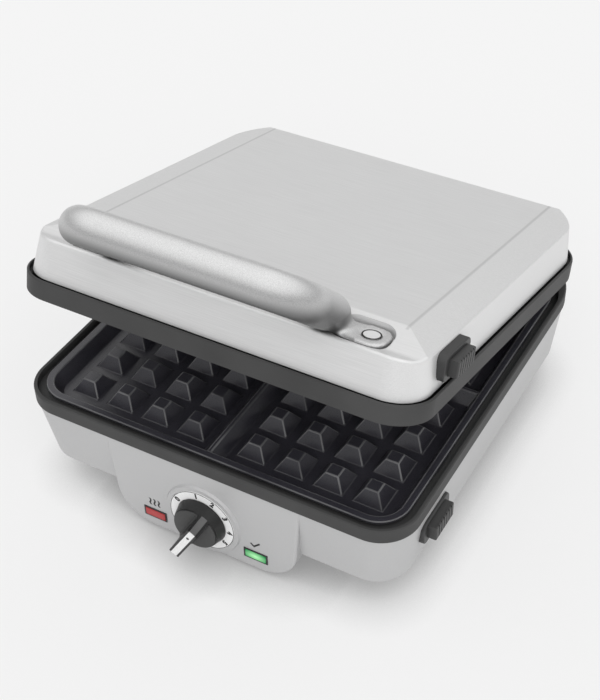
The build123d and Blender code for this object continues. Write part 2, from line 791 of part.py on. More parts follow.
def cover_form(inset):
    """Outer form of the cover, moved inwards everywhere but at its foot."""
    top = cover_top - inset
    side = cover_half_width - inset
    end = cover_half_depth - inset
    reach = half_width + half_depth
    trough = lid_bottom + trough_bottom - inset
    trough_y = lip_y + inset + trough_run
    brow = trough + (front_lip - trough_bottom) / trough_run * (reach + trough_y)
    crest = side - cover_side_draft - facet_run
    crest_top = top + facet_step
    facet_foot = crest_top - (cover_height - cover_side_lip) / facet_run * (reach - crest)
    rear_crest = end - rear_draft - rear_run
    rear_foot = top - (cover_height - rear_lip) / rear_run * (reach - rear_crest)
    across = front_prism(
        ((-reach, 0), (-reach, facet_foot), (-crest, crest_top), (crest, crest_top), (reach, facet_foot),
         (reach, 0)),
        -reach, reach, ((2, facet_round), (3, facet_round)),
    )
    along = side_prism(
        ((-reach, 0), (-reach, brow), (trough_y, trough), (lip_y + inset + trough_length, top),
         (rear_crest, top), (reach, rear_foot), (reach, 0)),
        -reach, reach, ((2, trough_round), (3, facet_round), (4, facet_round)),
    )
    wall_rise = lid_bottom + cover_side_lip - lid_ledge_top
    high = (
        2 * (side - 2 * cover_side_draft), 2 * (end - rear_draft - cover_front_draft),
        2 * cover_lip_front_corner - cover_foot[2] - inset, 2 * cover_lip_rear_corner - cover_foot[3] - inset,
    )
    plan = tapered(
        shrunk(cover_foot, inset), high, lid_ledge_top, lid_ledge_top + 2 * wall_rise,
        0, cover_front_draft - rear_draft,
    )
    return plan & across & along


foot_front = lip_y + handle_foot_setback
foot_middle = foot_front + handle_foot_depth / 2


def foot_slab(grow, bottom, top):
    """Pair of slabs on the outline of the handle feet, grown all round."""
    length = handle_foot_reach - handle_foot_start + 2 * grow
    outline = RectangleRounded(length, handle_foot_depth + 2 * grow, pocket_corner + grow)
    pad = extrude(outline, amount=top - bottom)
    middle = (handle_foot_start + handle_foot_reach) / 2
    return [Pos(x, foot_middle, bottom) * pad for x in (-middle, middle)]


cap_x = handle_foot_reach - cap_inset
cap_places = (-cap_x, cap_x)
bolt_hole = handle_bolt + 2 * screw_gap
cover_outside = cover_form(0)
cover_walls = cover_outside.faces().filter_by(lambda face: abs(face.normal_at().Z) < 0.5)
cover_edges = [edge for face in cover_walls for edge in face.edges() if edge.center().Z > pocket_floor]
cover_outside = fillet(cover_edges, lip_round)
cover_inside = cover_form(sheet) - foot_slab(pocket_gap + sheet, pocket_floor - sheet, cover_top)
lid_cover = cover_outside - foot_slab(pocket_gap, pocket_floor, cover_top) - cover_inside
upper_release_z = lid_bottom + release_rise
lid_cover -= bezel_slab(fit_gap, release_x - bezel_depth, half_width, upper_release_z)
lid_cover -= [rod_z(bolt_hole, pocket_floor - sheet, pocket_floor, x, foot_middle) for x in cap_places]
upper_release = release(upper_release_z, upper_back + lug_gap + nose_height / 2)
upper_posts = [rod_z(post_diameter, upper_sheet, cover_top - sheet, x, y) for x, y in post_places]

# Handle: a thick bar whose ends bend down and back to flat feet that lie in the pockets of the cover
grip_y = -half_depth - grip_forward
grip_z = lid_bottom + grip_rise
neck_y = neck_back - half_depth
neck_z = pocket_floor + neck_rise
neck_bend = grip_diameter / 2 + neck_inner_round
foot_top = pocket_floor + handle_foot_thickness
right_side = ((neck_reach, neck_y, pocket_floor), (neck_reach, neck_y, neck_z), (grip_reach, grip_y, grip_z))
left_side = [(-x, y, z) for x, y, z in reversed(right_side)]
handle_path = FilletPolyline(*right_side, *left_side, radius=(neck_bend, grip_bend, grip_bend, neck_bend))
handle = sweep(Plane(origin=handle_path @ 0, z_dir=handle_path % 0) * Circle(grip_diameter / 2), handle_path)
handle -= cover_form(-handle_gap) - foot_slab(pocket_gap - handle_gap, pocket_floor, grip_z)
handle += foot_slab(0, pocket_floor, foot_top)
bolt_seat = pocket_floor + handle_bolt_seat
bolt_head_top = bolt_seat + handle_bolt_head_height
nut_top = pocket_floor - sheet
nut_low = nut_top - handle_nut_height
handle_caps = []
handle_screws = []
handle_nuts = []
for x in cap_places:
    handle -= rod_z(bolt_hole, pocket_floor, bolt_seat, x, foot_middle)
    handle -= rod_z(cap_diameter + 2 * cap_gap, bolt_seat, grip_z, x, foot_middle)
    handle_caps.append(rod_z(cap_diameter, bolt_head_top, bolt_head_top + cap_thickness, x, foot_middle))
    bolt = rod_z(handle_bolt_head, bolt_seat, bolt_head_top, x, foot_middle)
    handle_screws.append(bolt + rod_z(handle_bolt, nut_low, bolt_seat, x, foot_middle))
    nut = Pos(x, foot_middle, nut_low) * extrude(RegularPolygon(handle_nut / 2, 6), handle_nut_height)
    handle_nuts.append(nut - rod_z(bolt_hole, nut_low, nut_top, x, foot_middle))

# Pieces of the base
save("base_shell", base_shell)
save("bottom_pan", bottom_pan)
save("pan_screws", group(pan_screws))
save("rubber_feet", group([rubber_foot(x, y) for x, y in foot_places]))
save("base_rim", base_rim)
save("lower_plate", lower_plate)
save("lower_heater", heater(lower_heater_z))
save("lower_heater_clips", heater_clips(lower_heater_z, lower_tray))
save("lower_reflector", lower_reflector)
save("reflector_screws", group(reflector_screws))
save("thermal_fuse", thermal_fuse)
save("terminal_block", terminal_block)
save("cord_gland", cord_gland)
save("dial_plate", dial_plate)
save("thermostat_body", thermostat_body)
save("thermostat_nut", thermostat_nut)
save("red_lamp_lens", lamp_lens(-lamp_offset))
save("red_lamp_bezel", lamp_bezel(-lamp_offset))
save("green_lamp_lens", lamp_lens(lamp_offset))
save("green_lamp_bezel", lamp_bezel(lamp_offset))
save("lamp_boards", group(lamp_boards))
save("base_hinge_left", base_bracket(hinge_places[0]))
save("base_hinge_right", base_bracket(hinge_places[1]))
save("hinge_pins", group([hollow_pin(x) for x in hinge_places]))

# Pieces that turn with the knob
save("control_knob", knob_place * knob_body)
save("knob_insert", knob_place * strip)
save("thermostat_shaft", thermostat_shaft)

# Pieces of the lid
save("lid_cover", on_lid(lid_cover))
save("lid_rim", on_lid(lid_rim))
save("upper_plate", on_lid(upper_plate))
save("upper_heater", on_lid(heater(upper_heater_z)))
save("upper_heater_clips", on_lid(heater_clips(upper_heater_z, upper_tray)))
save("upper_reflector", on_lid(upper_reflector))
save("upper_reflector_posts", on_lid(group(upper_posts)))
save("handle", on_lid(handle))
save("handle_caps", on_lid(group(handle_caps)))
save("handle_screws", on_lid(group(handle_screws)))
save("handle_nuts", on_lid(group(handle_nuts)))
save("lid_hinge_left", on_lid(lid_arm(hinge_places[0])))
save("lid_hinge_right", on_lid(lid_arm(hinge_places[1])))

# Release pieces: each bezel and spring stays with its wall, each button takes its catch along
for name, shape in zip(("bezel", "button", "spring", "catch"), lower_release):
    save(f"lower_release_{name}", shape)
for name, shape in zip(("bezel", "button", "spring", "catch"), upper_release):
    save(f"upper_release_{name}", on_lid(shape))
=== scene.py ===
import bpy
import json
import math
from mathutils import Matrix, Vector


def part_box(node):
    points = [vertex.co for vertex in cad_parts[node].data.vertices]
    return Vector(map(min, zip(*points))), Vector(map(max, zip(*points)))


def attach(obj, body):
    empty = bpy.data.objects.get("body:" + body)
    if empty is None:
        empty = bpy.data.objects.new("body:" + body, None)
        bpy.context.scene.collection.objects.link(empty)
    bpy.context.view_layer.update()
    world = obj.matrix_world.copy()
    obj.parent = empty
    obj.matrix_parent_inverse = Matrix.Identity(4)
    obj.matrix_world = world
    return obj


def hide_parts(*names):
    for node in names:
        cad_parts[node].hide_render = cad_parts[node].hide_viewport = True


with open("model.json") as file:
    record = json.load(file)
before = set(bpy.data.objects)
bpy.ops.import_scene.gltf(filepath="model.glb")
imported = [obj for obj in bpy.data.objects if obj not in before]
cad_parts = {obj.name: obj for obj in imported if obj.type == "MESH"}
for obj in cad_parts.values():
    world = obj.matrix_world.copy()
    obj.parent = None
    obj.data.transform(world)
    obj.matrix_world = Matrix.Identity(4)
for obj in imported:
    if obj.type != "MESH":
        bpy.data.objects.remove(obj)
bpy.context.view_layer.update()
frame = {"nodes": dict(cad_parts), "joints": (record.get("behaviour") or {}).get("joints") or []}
bpy.ops.object.select_all(action="DESELECT")
bpy.context.scene.view_settings.view_transform = "Standard"

# Bottom pan and rubber feet: a black moulded tray that is screwed up under the base, on four soft
# feet. The plastic has a fine spark-eroded grain, and the feet are duller and a little dusty.
noise_low = 0.3
noise_high = 0.7


def grey(tone):
    """A neutral colour."""
    return tone, tone, tone


def start_finish(name):
    """A material with its shader and the piece's own coordinates."""
    material = bpy.data.materials.new(name)
    material.use_nodes = True
    nodes = material.node_tree.nodes
    links = material.node_tree.links
    coords = nodes.new("ShaderNodeTexCoord")
    return material, nodes, links, nodes["Principled BSDF"], coords.outputs["Object"]


def feed(links, source, socket):
    """Give a socket a constant, or what another node gives."""
    if isinstance(source, bpy.types.NodeSocket):
        links.new(source, socket)
    else:
        socket.default_value = source


def add_noise(nodes, links, place, scale, detail, stretch=(1, 1, 1)):
    """Noise over a piece, drawn out along the axes that stretch makes small."""
    mapping = nodes.new("ShaderNodeMapping")
    mapping.inputs["Scale"].default_value = stretch
    links.new(place, mapping.inputs["Vector"])
    noise = nodes.new("ShaderNodeTexNoise")
    noise.inputs["Scale"].default_value = scale
    noise.inputs["Detail"].default_value = detail
    links.new(mapping.outputs["Vector"], noise.inputs["Vector"])
    return noise.outputs["Fac"]


def ramp(nodes, links, value, start, end, low=0, high=1):
    """Go from low to high while a value goes from start to end."""
    slope = nodes.new("ShaderNodeMapRange")
    sources = {"Value": value, "From Min": start, "From Max": end, "To Min": low, "To Max": high}
    for name, source in sources.items():
        feed(links, source, slope.inputs[name])
    return slope.outputs["Result"]


def shift_range(nodes, links, noise, low, high):
    """Spread the middle of a noise between two numbers."""
    return ramp(nodes, links, noise, noise_low, noise_high, low, high)


def mix_tones(nodes, links, value, dark, light):
    """Two tones mixed by a value, each a colour or what another node gives."""
    mix = nodes.new("ShaderNodeMix")
    mix.data_type = "RGBA"
    links.new(value, mix.inputs["Factor"])
    for tone, name in ((dark, "A"), (light, "B")):
        feed(links, (*tone, 1) if isinstance(tone, tuple) else tone, mix.inputs[name])
    return mix.outputs["Result"]


def add_bump(nodes, links, shader, height, depth, strength):
    """Relief from a height, depth in metres."""
    bump = nodes.new("ShaderNodeBump")
    bump.inputs["Distance"].default_value = depth
    bump.inputs["Strength"].default_value = strength
    links.new(height, bump.inputs["Height"])
    links.new(bump.outputs["Normal"], shader.inputs["Normal"])


def moulded(name, dark, light, smooth, rough, grain=1500, relief=0.00006):
    """Moulded plastic or rubber: blotches of tone, uneven gloss and a fine grain."""
    material, nodes, links, shader, place = start_finish(name)
    blotch = add_noise(nodes, links, place, scale=22, detail=3)
    blotch_spread = shift_range(nodes, links, blotch, 0, 1)
    links.new(mix_tones(nodes, links, blotch_spread, dark, light), shader.inputs["Base Color"])
    fine = add_noise(nodes, links, place, scale=grain, detail=2)
    links.new(shift_range(nodes, links, fine, smooth, rough), shader.inputs["Roughness"])
    add_bump(nodes, links, shader, fine, depth=relief, strength=0.5)
    return material


def dress(material, names):
    """Give CAD pieces a finish."""
    for name in names.split():
        slots = frame["nodes"][name].data.materials
        slots.clear()
        slots.append(material)


pan_plastic = moulded(
    "pan_plastic", dark=(0.018, 0.018, 0.019), light=(0.03, 0.03, 0.031), smooth=0.45, rough=0.6
)
foot_rubber = moulded(
    "foot_rubber", dark=grey(0.02), light=(0.045, 0.044, 0.042), smooth=0.7, rough=0.9, grain=800
)
dress(pan_plastic, "bottom_pan cord_gland")
dress(foot_rubber, "rubber_feet")

# Base shell: one silver tub with the control housing moulded on its front. It is satin plastic with
# a metal flake in it, so its tone shimmers slightly and its gloss is soft.
shell_dark = (0.45, 0.45, 0.453)
shell_light = (0.505, 0.505, 0.508)
shell_metal = 0.2
silver_shell, nodes, links, shader, place = start_finish("silver_shell")
flake = add_noise(nodes, links, place, scale=2600, detail=1)
cloud = add_noise(nodes, links, place, scale=9, detail=2)
flake_spread = shift_range(nodes, links, flake, low=0.1, high=0.9)
shell_tone = mix_tones(nodes, links, flake_spread, shell_dark, shell_light)
links.new(shell_tone, shader.inputs["Base Color"])
links.new(shift_range(nodes, links, cloud, low=0.36, high=0.44), shader.inputs["Roughness"])
shader.inputs["Metallic"].default_value = shell_metal
add_bump(nodes, links, shader, flake, depth=0.00003, strength=0.35)
dress(silver_shell, "base_shell")

# Inside the base and the lid: sheathed heating tubes, dull from heat, clipped to bright pressed trays.
# Screws, catches and springs are plated steel, the terminal block and the thermostat are cream
# plastic, and the lamp boards are green.


def sheet_metal(name, dark, light, smooth, rough, stretch, relief=0.00002, metal=1.0):
    """Metal with fine lines along the axis that stretch makes small."""
    material, nodes, links, shader, place = start_finish(name)
    lines = add_noise(nodes, links, place, scale=1, detail=4, stretch=stretch)
    line_spread = shift_range(nodes, links, lines, 0, 1)
    links.new(mix_tones(nodes, links, line_spread, dark, light), shader.inputs["Base Color"])
    links.new(shift_range(nodes, links, lines, smooth, rough), shader.inputs["Roughness"])
    shader.inputs["Metallic"].default_value = metal
    add_bump(nodes, links, shader, lines, depth=relief, strength=0.4)
    return material


heater_steel = sheet_metal(
    "heater_steel", dark=(0.1, 0.09, 0.085), light=(0.2, 0.19, 0.18),
    smooth=0.4, rough=0.6, stretch=(300, 300, 300),
)
tray_metal = sheet_metal(
    "tray_metal", dark=grey(0.68), light=grey(0.78), smooth=0.22, rough=0.34, stretch=(40, 900, 900)
)
plated_steel = sheet_metal(
    "plated_steel", dark=(0.45, 0.45, 0.46), light=(0.6, 0.6, 0.61),
    smooth=0.28, rough=0.42, stretch=(700, 700, 700),
)
inner_plastic = moulded(
    "inner_plastic", dark=(0.62, 0.58, 0.48), light=(0.7, 0.66, 0.56), smooth=0.45, rough=0.6
)
board_green = moulded(
    "board_green", dark=(0.03, 0.09, 0.04), light=(0.05, 0.14, 0.06), smooth=0.35, rough=0.5
)
dress(heater_steel, "lower_heater upper_heater thermal_fuse")
dress(tray_metal, "lower_reflector lower_heater_clips")
dress(tray_metal, "upper_reflector upper_heater_clips upper_reflector_posts")
dress(plated_steel, "pan_screws reflector_screws thermostat_nut thermostat_shaft hinge_pins")
dress(plated_steel, "handle_screws handle_nuts")
dress(plated_steel, "lower_release_catch lower_release_spring upper_release_catch upper_release_spring")
dress(inner_plastic, "terminal_block thermostat_body")
dress(board_green, "lamp_boards")

# Rims and hinges: dark grey heat-proof frames round the plates, with forked hinge lugs behind. They
# are moulded with a matt face that goes a little lighter where hands and cloths have rubbed it.
rim_gloss = 0.15
rim_plastic = moulded(
    "rim_plastic", dark=grey(0.053), light=grey(0.065),
    smooth=0.46, rough=0.56, grain=1900, relief=0.00004,
)
rim_plastic.node_tree.nodes["Principled BSDF"].inputs["Specular IOR Level"].default_value = rim_gloss
dress(rim_plastic, "base_rim lid_rim base_hinge_left base_hinge_right lid_hinge_left lid_hinge_right")

# Waffle plates: cast aluminium trays with rows of blunt peaks, coated near-black. Casting leaves every
# edge rounded, so each plate is taken from the solid with its edges eased. It lifts out by its tabs.
lower_level = 0.0873
upper_level = 0.1133
level_slack = 0.0001
merge_reach = 0.00001
edge_ease = 0.0009
bright_rise = 0.003
edge_finish = 1
peak_finish = 2
flat_angle = math.radians(1)
sharp_angle = math.radians(28)
cast_angle = math.radians(35)
coat_dark = (0.025, 0.0242, 0.031)
coat_light = (0.036, 0.035, 0.043)
coat_gloss = 0.7
lid_tilt = math.radians(14.7)
joints = {joint["name"]: joint for joint in frame["joints"]}
hinge_spot = Vector(joints["lid_hinge"]["pos_m"])
swing = Matrix.Rotation(lid_tilt, 4, "X")
close_lid = Matrix.Translation(hinge_spot) @ swing @ Matrix.Translation(-hinge_spot)
coating, nodes, links, shader, place = start_finish("plate_coating")
speckle = add_noise(nodes, links, place, scale=2300, detail=2)
patch = add_noise(nodes, links, place, scale=30, detail=3)
patch_spread = shift_range(nodes, links, patch, 0, 1)
links.new(mix_tones(nodes, links, patch_spread, coat_dark, coat_light), shader.inputs["Base Color"])
links.new(shift_range(nodes, links, speckle, low=0.26, high=0.36), shader.inputs["Roughness"])
shader.inputs["Specular IOR Level"].default_value = coat_gloss
add_bump(nodes, links, shader, speckle, depth=0.00004, strength=0.35)
# Lighter tones for the eased edges: partly wear and partly painted highlight, brightest on the peaks.
peak_wear_and_highlight = moulded(
    "peak_wear_and_highlight", dark=(0.045, 0.045, 0.049), light=(0.15, 0.15, 0.155),
    smooth=0.28, rough=0.38, grain=420,
)
edge_wear_and_highlight = moulded(
    "edge_wear_and_highlight", dark=(0.026, 0.025, 0.031), light=(0.042, 0.041, 0.047),
    smooth=0.28, rough=0.38, grain=420,
)


def copy_solid(name, node, finishes):
    """A copy of a CAD piece in its finishes, left in edit mode with its loose triangles merged."""
    piece = bpy.data.objects.new(name, frame["nodes"][node].data.copy())
    bpy.context.scene.collection.objects.link(piece)
    bpy.context.view_layer.objects.active = piece
    piece.select_set(True)
    piece.data.materials.clear()
    for finish in finishes:
        piece.data.materials.append(finish)
    bpy.ops.object.mode_set(mode="EDIT")
    bpy.ops.mesh.select_mode(type="EDGE")
    bpy.ops.mesh.select_all(action="SELECT")
    bpy.ops.mesh.remove_doubles(threshold=merge_reach)
    return piece


def cast_plate(node, body, turn, level, side):
    """A plate with eased edges in place of its plain solid, its baking side past the given level."""
    plate = copy_solid(f"{node}_cast", node, (coating, edge_wear_and_highlight, peak_wear_and_highlight))
    bpy.ops.mesh.dissolve_limited(angle_limit=flat_angle)
    bpy.ops.mesh.vert_connect_concave()
    bpy.ops.mesh.select_all(action="DESELECT")
    bpy.ops.mesh.edges_select_sharp(sharpness=sharp_angle)
    bpy.ops.object.mode_set(mode="OBJECT")
    mesh = plate.data
    heights = [side * ((turn @ point.co).z - level) for point in mesh.vertices]
    for part in (*mesh.vertices, *mesh.polygons):
        part.select = False
    for edge in mesh.edges:
        edge.select = edge.select and min(heights[v] for v in edge.vertices) > -level_slack
    bpy.ops.object.mode_set(mode="EDIT")
    bpy.ops.mesh.bevel(
        offset=edge_ease, segments=3, profile=0.5, clamp_overlap=False, material=edge_finish
    )
    bpy.ops.object.mode_set(mode="OBJECT")
    # Eased faces high on the peaks take the brighter tone of wear and painted highlight; the rest keep
    # the dimmer one.
    for face in mesh.polygons:
        rise = side * ((turn @ face.center).z - level)
        if face.material_index == edge_finish and rise > bright_rise:
            face.material_index = peak_finish
    bpy.ops.object.shade_smooth_by_angle(angle=cast_angle)
    flats = plate.modifiers.new("flats", "WEIGHTED_NORMAL")
    flats.keep_sharp = True
    bpy.ops.object.modifier_apply(modifier="flats")
    plate.select_set(False)
    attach(plate, body)
    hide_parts(node)


cast_plate("lower_plate", "base", Matrix(), lower_level, side=1)
cast_plate("upper_plate", "lid", close_lid, upper_level, side=-1)

# Dial and lamps: a bright printed ring let into the control housing, marked with figures from 0 to 5,
# with a dull red and a lit green lens in thin dark frames beside it, each under a printed sign.
print_depth = 0.00008
line_space = 0.32
figure_radius = 0.0254
figure_height = 0.0066
figure_bold = 0.055
zero_angle = -58
one_angle = -8
figure_step = 34
line_radius = 0.0286
line_width = 0.0005
sign_height = 0.0125
sign_bold = 0.02
sign_rise = 0.0125
upright = math.radians(90)
dial_silver = moulded(
    "dial_silver", dark=grey(0.8), light=grey(0.86), smooth=0.25, rough=0.35, grain=900, relief=0.00002
)
frame_black = moulded("frame_black", dark=grey(0.012), light=grey(0.02), smooth=0.35, rough=0.5)
# Black for the print, and also for the painted shadow ring round the dial.
print_and_shadow_black = moulded("print_and_shadow_black", dark=grey(0.008), light=grey(0.014), smooth=0.5, rough=0.6)
dress(dial_silver, "dial_plate")
dress(frame_black, "red_lamp_bezel green_lamp_bezel")
dial_low, dial_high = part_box("dial_plate")
dial_x = (dial_low.x + dial_high.x) / 2
dial_z = (dial_low.z + dial_high.z) / 2


def settle(piece, material, body):
    """Put a finished piece's place into its mesh and let it ride on a body."""
    bpy.ops.object.select_all(action="DESELECT")
    piece.select_set(True)
    bpy.context.view_layer.objects.active = piece
    bpy.ops.object.transform_apply(location=True, rotation=True, scale=True)
    piece.data.materials.clear()
    piece.data.materials.append(material)
    piece.select_set(False)
    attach(piece, body)


def print_sign(name, text, size, bold, spot, turn):
    """A printed sign on the front of the base, centred on its spot and turned clockwise."""
    bpy.ops.object.text_add()
    sign = bpy.context.object
    sign.data.body = text
    sign.data.size = size
    sign.data.offset = size * bold
    sign.data.extrude = print_depth
    sign.data.space_line = line_space
    bpy.ops.object.convert(target="MESH")
    sign = bpy.context.object
    sign.name = name
    bpy.ops.object.origin_set(type="ORIGIN_GEOMETRY", center="BOUNDS")
    sign.location = spot
    sign.rotation_euler = (upright, turn, 0)
    settle(sign, print_and_shadow_black, "base")


def flat_ring(name, points, radius, width, spot, turn):
    """A flat ring: a circle that is drawn out to its width."""
    bpy.ops.mesh.primitive_circle_add(vertices=points, radius=radius, location=spot, rotation=turn)
    ring = bpy.context.object
    ring.name = name
    bpy.ops.object.mode_set(mode="EDIT")
    bpy.ops.mesh.select_all(action="SELECT")
    bpy.ops.mesh.extrude_edges_move()
    bpy.ops.transform.resize(value=[(radius + width) / radius] * 3)
    bpy.ops.object.mode_set(mode="OBJECT")
    return ring


def lens(name, rim_colour, heart_colour, glow, box):
    """Coloured lens, lighter in its middle where its lamp stands behind it."""
    material, nodes, links, shader, place = start_finish(name)
    low, high = box
    lit_width = (high.x - low.x) * 0.62
    lit_height = (high.z - low.z) * 0.75
    mapping = nodes.new("ShaderNodeMapping")
    mapping.vector_type = "TEXTURE"
    mapping.inputs["Location"].default_value = (low + high) / 2
    mapping.inputs["Scale"].default_value = (lit_width, 1, lit_height)
    links.new(place, mapping.inputs["Vector"])
    ball = nodes.new("ShaderNodeTexGradient")
    ball.gradient_type = "SPHERICAL"
    links.new(mapping.outputs["Vector"], ball.inputs["Vector"])
    colour = mix_tones(nodes, links, ball.outputs["Fac"], rim_colour, heart_colour)
    links.new(colour, shader.inputs["Base Color"])
    links.new(colour, shader.inputs["Emission Color"])
    shader.inputs["Emission Strength"].default_value = glow
    shader.inputs["Roughness"].default_value = 0.25
    ribs = add_noise(nodes, links, place, scale=1, detail=1, stretch=(1500, 1500, 300))
    add_bump(nodes, links, shader, ribs, depth=0.00003, strength=0.3)
    return material


for figure in range(6):
    turn = math.radians(one_angle + figure_step * (figure - 1) if figure else zero_angle)
    figure_x = dial_x + figure_radius * math.sin(turn)
    figure_z = dial_z + figure_radius * math.cos(turn)
    spot = (figure_x, dial_low.y, figure_z)
    name = f"dial_figure_{figure}"
    print_sign(name, str(figure), figure_height, figure_bold, spot, turn)

# A thin black ring round the edge of the dial is painted shadow, standing for the shaded gap there.
dial_spot = (dial_x, dial_low.y, dial_z)
dial_gap_shadow = flat_ring("dial_gap_shadow", 96, line_radius, line_width, dial_spot, (upright, 0, 0))
bpy.ops.object.mode_set(mode="EDIT")
bpy.ops.mesh.select_all(action="SELECT")
bpy.ops.mesh.extrude_region_move(TRANSFORM_OT_translate={"value": (0, -print_depth, 0)})
bpy.ops.mesh.select_all(action="SELECT")
bpy.ops.mesh.normals_make_consistent(inside=False)
bpy.ops.object.mode_set(mode="OBJECT")
settle(dial_gap_shadow, print_and_shadow_black, "base")

shell_face = joints["knob_turn"]["pos_m"][1]
for name, text, turn, lamp in (
    ("heat_sign", "~\n~\n~", upright, "red_lamp_lens"),
    ("ready_sign", "\u2713", 0, "green_lamp_lens"),
):
    low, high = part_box(lamp)
    spot = ((low.x + high.x) / 2, shell_face, (low.z + high.z) / 2 + sign_rise)
    print_sign(name, text, sign_height, sign_bold, spot, turn)
red_lens = lens(
    "red_lens", rim_colour=(0.36, 0.028, 0.028), heart_colour=(0.43, 0.045, 0.045),
    glow=0.03, box=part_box("red_lamp_lens"),
)
green_lens = lens(
    "green_lens", rim_colour=(0.0, 0.2, 0.05), heart_colour=(0.36, 0.8, 0.38),
    glow=0.3, box=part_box("green_lamp_lens"),
)
dress(red_lens, "red_lamp_lens")
dress(green_lens, "green_lamp_lens")

# Control knob: a black disc with two satin thumb pads and a tall gripping blade, pushed on the shaft
# of the thermostat. A metal strip is let into the blade, bright on its face, with painted shade
# darkening its flanks, and with a dot that points at the dial.
strip_dark = grey(0.78)
strip_light = grey(0.9)
painted_flank_shade = grey(0.16)
flank_start = 0.0001
flank_end = 0.0006
strip_metal_share = 0.35
pointer = math.radians(31)
pad_radius = 0.0188
pad_inset = 0.0062
pad_depth = 0.003
pad_ease = 0.0014
pad_setback = 0.0088
dot_reach = 0.0105
dot_radius = 0.0013
dot_depth = 0.0004
dot_proud = 0.00003
dot_ease = 0.00008
sight_start = 0.01
knob_plastic = moulded("knob_plastic", dark=grey(0.009), light=grey(0.014), smooth=0.34, rough=0.44)
pad_plastic = moulded("pad_plastic", dark=grey(0.036), light=grey(0.05), smooth=0.42, rough=0.52)
dress(knob_plastic, "control_knob")


def split_axes(nodes, links, vector):
    """The X, Y and Z of a vector."""
    split = nodes.new("ShaderNodeSeparateXYZ")
    links.new(vector, split.inputs["Vector"])
    return split.outputs


def soften_edges(piece, width, segments):
    """Round the sharp edges of the active piece."""
    soften = piece.modifiers.new("soften", "BEVEL")
    soften.width = width
    soften.segments = segments
    soften.limit_method = "ANGLE"
    soften.angle_limit = math.radians(40)
    bpy.ops.object.modifier_apply(modifier="soften")


strip_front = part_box("knob_insert")[0].y
strip_metal, nodes, links, shader, place = start_finish("strip_metal")
inward = split_axes(nodes, links, place)["Y"]
# Painted shade: the strip's colour darkens with depth behind its face, over its flanks.
flank_shade_mask = ramp(nodes, links, inward, strip_front + flank_start, strip_front + flank_end)
hairline = add_noise(nodes, links, place, scale=1, detail=3, stretch=(900, 60, 900))
hairline_spread = shift_range(nodes, links, hairline, 0, 1)
face_tone = mix_tones(nodes, links, hairline_spread, strip_dark, strip_light)
links.new(mix_tones(nodes, links, flank_shade_mask, face_tone, painted_flank_shade), shader.inputs["Base Color"])
links.new(shift_range(nodes, links, hairline, low=0.3, high=0.4), shader.inputs["Roughness"])
shader.inputs["Metallic"].default_value = strip_metal_share
dress(strip_metal, "knob_insert")

for side, x_sign in (("left", -1), ("right", 1)):
    bpy.ops.mesh.primitive_cylinder_add(vertices=72, radius=pad_radius, depth=pad_depth)
    pad = bpy.context.object
    pad.name = f"thumb_pad_{side}"
    bpy.ops.object.mode_set(mode="EDIT")
    bpy.ops.mesh.select_all(action="SELECT")
    bpy.ops.mesh.bisect(
        plane_co=(x_sign * pad_inset, 0, 0), plane_no=(x_sign, 0, 0), use_fill=True, clear_inner=True
    )
    bpy.ops.object.mode_set(mode="OBJECT")
    soften_edges(pad, pad_ease, segments=5)
    bpy.ops.object.shade_smooth_by_angle(angle=math.radians(30))
    pad.location = (dial_x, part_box("control_knob")[1].y - pad_setback, dial_z)
    pad.rotation_euler = (upright, pointer, 0)
    settle(pad, pad_plastic, "knob")

dot_x = dial_x + dot_reach * math.sin(pointer)
dot_z = dial_z + dot_reach * math.cos(pointer)
sight = Vector((dot_x, strip_front - sight_start, dot_z))
dot_spot, outward = frame["nodes"]["knob_insert"].ray_cast(sight, Vector((0, 1, 0)))[1:3]
dot_place = dot_spot + outward * (dot_proud - dot_depth / 2)
dot_turn = outward.to_track_quat("Z", "Y").to_euler()
bpy.ops.mesh.primitive_cylinder_add(
    vertices=32, radius=dot_radius, depth=dot_depth, location=dot_place, rotation=dot_turn
)
pointer_dot = bpy.context.object
pointer_dot.name = "pointer_dot"
soften_edges(pointer_dot, dot_ease, segments=2)
settle(pointer_dot, print_and_shadow_black, "knob")

# Release buttons: ribbed dark buttons in thick collars on the right side of the base and of the lid.
# Both are moulded plastic. Pressing a button draws back the catch that holds its plate.
button_plastic = moulded("button_plastic", dark=grey(0.04), light=grey(0.055), smooth=0.45, rough=0.55)
collar_plastic = moulded("collar_plastic", dark=grey(0.03), light=grey(0.042), smooth=0.4, rough=0.5)
dress(button_plastic, "lower_release_button upper_release_button")
dress(collar_plastic, "lower_release_bezel upper_release_bezel")

# Lid cover: a pressed steel sheet, brushed from side to side, in one piece with the trough along its
# front. The brushing shows as fine streaks, and the bends of the top get soft dark lines of painted
# shade. A black band of painted shadow runs round the foot of the cover, where it stands in its rim.
gap_shadow_black = grey(0.008)
gap_shadow_top = 0.1158
gap_shadow_fade = 0.0003
crease_reach = 0.135
crease_half_width = 0.0017
crease_core = crease_half_width / 4
crease_low = 0.1497
painted_crease_shade = grey(0.6)


def base_tone(material):
    """The nodes and links of a finish, its colour socket and the tone that feeds it."""
    nodes = material.node_tree.nodes
    colour = nodes["Principled BSDF"].inputs["Base Color"]
    return nodes, material.node_tree.links, colour, colour.links[0].from_socket


def work_out(nodes, links, operation, first, second=0):
    """A sum on a value, with a constant or another value."""
    step = nodes.new("ShaderNodeMath")
    step.operation = operation
    feed(links, first, step.inputs[0])
    feed(links, second, step.inputs[1])
    return step.outputs["Value"]


